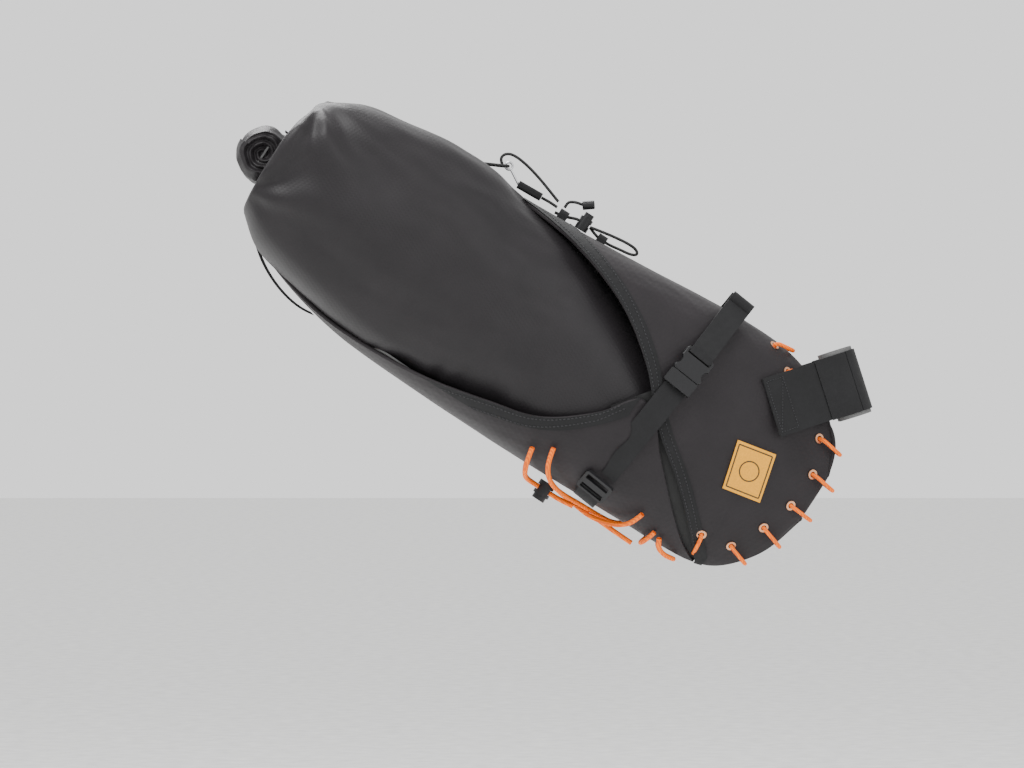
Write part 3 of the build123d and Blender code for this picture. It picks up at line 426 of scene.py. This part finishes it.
# the rolled mouth, its coil showing at both ends
ROLL_CENTRE = (491, -100)
ROLL_RADIUS = 23.0
ROLL_REACH = 63
ROLL_STEPS = 72
COIL_TURNS = 3.3
COIL_DEPTH = 1.6
CRUMPLE_DEPTH = 2.4
COIL_SINK = 7.0
roll_rows = []
for y in spaced(-ROLL_REACH, ROLL_REACH, 60):
    row = []
    for k in range(ROLL_STEPS + 1):
        angle = 2 * math.pi * k / ROLL_STEPS
        crumple = folds(14 * math.cos(angle), y, 14 * math.sin(angle), 12, 16, CRUMPLE_DEPTH)
        spiral = ROLL_RADIUS * (0.93 + 0.07 * k / ROLL_STEPS) + crumple
        pinch = 1.0 - 0.2 * max(0.0, abs(y) / ROLL_REACH - 0.85) / 0.15
        row.append(at(ROLL_CENTRE[0] + spiral * pinch * math.cos(angle),
                      ROLL_CENTRE[1] + spiral * pinch * math.sin(angle), y))
    roll_rows.append(row)


def coiled_end(row, hand):
    """Rings from the roll's rim to its middle: the coil of the folded mouth, sunk between its turns."""
    middle = sum(row, Vector()) / len(row)
    rings = []
    for share in spaced(1.0, 0.0, 18)[1:]:
        ring = []
        for k, point in enumerate(row):
            coil = math.sin(2 * math.pi * (COIL_TURNS * share + k / (len(row) - 1)))
            place = middle + (point - middle) * share
            crumple = noise.noise(Vector((place.x / MM / 9, hand * 7, place.z / MM / 9)))
            relief = COIL_DEPTH * coil + CRUMPLE_DEPTH * crumple
            sunk = COIL_SINK * (1 - share) + relief * min(1.0, share / 0.2)
            ring.append(place - Vector((0, hand * sunk * MM, 0)))
        rings.append(ring)
    return rings


roll_rows = coiled_end(roll_rows[0], -1)[::-1] + roll_rows + coiled_end(roll_rows[-1], 1)
roll = dress(grid_object("rolled_mouth", roll_rows), "dry_fabric", "dry_bag", "dry_bag_roll")


# ---- cords ----
def cord(name, points, diameter, body, slot_name, node):
    """One open curve through the route's points, swept to the cord's diameter, in place of its CAD node."""
    data = bpy.data.curves.new(name, "CURVE")
    data.dimensions = "3D"
    spline = data.splines.new("NURBS")
    spline.points.add(len(points) - 1)
    for control, point in zip(spline.points, points):
        control.co = (*point, 1.0)
    spline.order_u = 3
    spline.use_endpoint_u = True
    data.resolution_u = 12
    data.bevel_depth = diameter * MM / 2
    data.bevel_resolution = 6
    obj = bpy.data.objects.new(name, data)
    bpy.context.scene.collection.objects.link(obj)
    dress(obj, slot_name, body, node)


def in_metres(route):
    return [Vector(point) * MM for point in route]


def along_bag(route):
    return [at(*point) for point in route]


def mirrored(route):
    return [(a, b, -c) for a, b, c in route]


cord("arch_cord_skin", in_metres(ARCH_CORD), SHOCK_CORD, "top_hook", "black_cord", "arch_cord")
cord("bag_loop_skin", in_metres(BAG_LOOP), SHOCK_CORD, "dry_bag", "black_cord", "bag_loop")
cord("pull_loop_skin", along_bag(PULL_LOOP), SHOCK_CORD, "holster", "black_cord", "pull_loop")
cross_back = [(u, v + drop, -y) for (u, v, y), drop in zip(CROSS_STRAND, CROSSING_DROP)]
belly_routes = {"right_lock": LOCK_STRAND, "left_lock": mirrored(LOCK_STRAND), "cross": CROSS_STRAND,
                "cross_back": cross_back, "back": BACK_STRAND, "middle": MIDDLE_STRAND,
                "front": FRONT_STRAND}
for name, route in belly_routes.items():
    cord(f"belly_{name}_strand", along_bag(route), BELLY_CORD, "holster", "orange_cord", "belly_cord")


# ---- stitching ----
STITCH_THREAD = 0.55    # radius
STITCH_ROWS = (2.5, 9.0)


def stitches(name, line, spacing=3.2):
    """A row of short sewn threads along a line of points on the surface."""
    shape = bmesh.new()
    walked = 0.0
    for a, b in zip(line, line[1:]):
        run = (b - a).length
        while walked < run:
            start = a + (b - a) * (walked / run)
            turn = (b - a).to_track_quat("Z", "Y").to_matrix().to_4x4()
            turn.translation = start
            made = bmesh.ops.create_icosphere(shape, subdivisions=1, radius=1.0)
            for vert in made["verts"]:
                vert.co = turn @ Vector((vert.co.x * STITCH_THREAD * MM, vert.co.y * STITCH_THREAD * MM,
                                         vert.co.z * spacing * 0.38 * MM))
            walked += spacing * MM
        walked -= run
    mesh = bpy.data.meshes.new(name)
    shape.to_mesh(mesh)
    shape.free()
    mesh.polygons.foreach_set("use_smooth", [True] * len(mesh.polygons))
    mesh.materials.append(thread_material)
    obj = bpy.data.objects.new(name, mesh)
    bpy.context.scene.collection.objects.link(obj)
    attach(obj, "holster")


def on_node(node, x, z, hand, lift):
    """The point of a CAD node's side seen from its own side of the bag, lifted off the surface, or None."""
    start = Vector((x * MM, hand * 0.2, z * MM))
    found, place, normal, _ = frame["nodes"][node].ray_cast(start, Vector((0, -hand, 0)))
    return place + normal * lift * MM if found else None


def side_view(u, v):
    point = at(u, v) / MM
    return point.x, point.z


def surface_line(node, points, hand, lift, count=160):
    """A line on a node's side through points of the side view."""
    line = []
    for (x1, z1), (x2, z2) in zip(points, points[1:]):
        steps = max(1, round(count / (len(points) - 1)))
        for k in range(steps):
            share = k / steps
            place = on_node(node, x1 + (x2 - x1) * share, z1 + (z2 - z1) * share, hand, lift)
            if place is not None:
                line.append(place)
    return line


def binding_line(edge, low, high, offset):
    return [side_view(u, smooth_between(edge, u) + offset) for u in spaced(low, high, 70)]


POST_TILT = math.radians(17.6)


def on_post(ahead, up):
    """A point of the side view, ahead of and up along the seatpost, in millimetres."""
    return (ahead * math.cos(POST_TILT) - up * math.sin(POST_TILT),
            ahead * math.sin(POST_TILT) + up * math.cos(POST_TILT))


TAB_BOX = [on_post(-61, -21), on_post(-47, -21), on_post(-47, 21), on_post(-61, 21), on_post(-61, -21)]
TAB_CROSS = [on_post(-61, -21), on_post(-47, 21)]
for hand, side in ((-1, "right"), (1, "left")):
    for offset in STITCH_ROWS:
        stitches(f"{side}_nose_stitching_{offset:.0f}",
                 surface_line("nose_binding", binding_line(NOSE_EDGE, 30, 285, offset), hand, 0.1))
        stitches(f"{side}_cradle_stitching_{offset:.0f}",
                 surface_line("cradle_binding", binding_line(CRADLE_EDGE, 140, 455, -offset), hand, 0.1))
    for name, route in (("box", TAB_BOX), ("cross", TAB_CROSS)):
        stitches(f"{side}_tab_{name}", surface_line(f"{side}_post_tab", route, hand, 0.1), 2.4)

# ---- the label's printed border and ring ----
LABEL_CORNERS = [(-88, -44.6), (-56.4, -56.7), (-69.3, -95.6), (-100.1, -83.4)]
BORDER_SHARE = 0.86
PRINTED_WIDTH = 1.1
RING_RADIUS = 8


def printed_line(name, points, width):
    """A flat printed line on the label, through points of the side view."""
    rows = []
    for k, (x, z) in enumerate(points):
        ahead = Vector(points[min(k + 1, len(points) - 1)]) - Vector(points[max(k - 1, 0)])
        aside = Vector((-ahead.y, ahead.x)).normalized() * width / 2
        pair = [on_node("label", x + share * aside.x, z + share * aside.y, -1, 0.06) for share in (-1, 1)]
        if None not in pair:
            rows.append(pair)
    obj = grid_object(name, rows, levels=0)
    obj.data.materials.append(printed_material)
    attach(obj, "holster")


centre_x = sum(x for x, _ in LABEL_CORNERS) / 4
centre_z = sum(z for _, z in LABEL_CORNERS) / 4
inset = [(centre_x + BORDER_SHARE * (x - centre_x), centre_z + BORDER_SHARE * (z - centre_z))
         for x, z in LABEL_CORNERS]
for k, (start, end) in enumerate(zip(inset, inset[1:] + inset[:1])):
    side = [(start[0] + (end[0] - start[0]) * t, start[1] + (end[1] - start[1]) * t)
            for t in spaced(0.0, 1.0, 16)]
    printed_line(f"label_border_{k}", side, PRINTED_WIDTH)
ring = [(centre_x + RING_RADIUS * math.cos(2 * math.pi * k / 48),
         centre_z + RING_RADIUS * math.sin(2 * math.pi * k / 48)) for k in range(49)]
printed_line("label_ring", ring, PRINTED_WIDTH)

# ---- setting, camera and light ----
camera_data = bpy.data.cameras.new("camera")
camera_data.lens = 151.9
camera_data.sensor_width = 36.0
camera = bpy.data.objects.new("camera", camera_data)
camera.location = (-0.2686, -3.5, 0.0)
camera.rotation_euler = (math.radians(90), 0.0, 0.0)
bpy.context.scene.collection.objects.link(camera)
bpy.context.scene.camera = camera

FLOOR_HEIGHT = -0.62
bpy.ops.mesh.primitive_plane_add(size=40, location=(0, 0, FLOOR_HEIGHT))
floor = bpy.context.object
floor_material = grained("floor", (0.85, 0.85, 0.84), 0.8, 30.0, 0.0002)
floor.data.materials.append(floor_material)
for name, place, power, size in (("key", (-1.2, -1.6, 2.4), 85, 1.4), ("fill", (1.8, -2.6, 0.8), 30, 2.0),
                                 ("rim", (-0.9, 1.2, 2.0), 80, 1.4)):
    light_data = bpy.data.lights.new(name, "AREA")
    light_data.energy = power
    light_data.size = size
    light = bpy.data.objects.new(name, light_data)
    light.location = place
    light.rotation_euler = (Vector((-0.25, 0, 0)) - Vector(place)).to_track_quat("-Z", "Y").to_euler()
    bpy.context.scene.collection.objects.link(light)

world = bpy.data.worlds.new("studio")
bpy.context.scene.world = world
world.use_nodes = True
world.node_tree.nodes["Background"].inputs["Color"].default_value = (1.0, 1.0, 1.0, 1.0)
world.node_tree.nodes["Background"].inputs["Strength"].default_value = 1.3
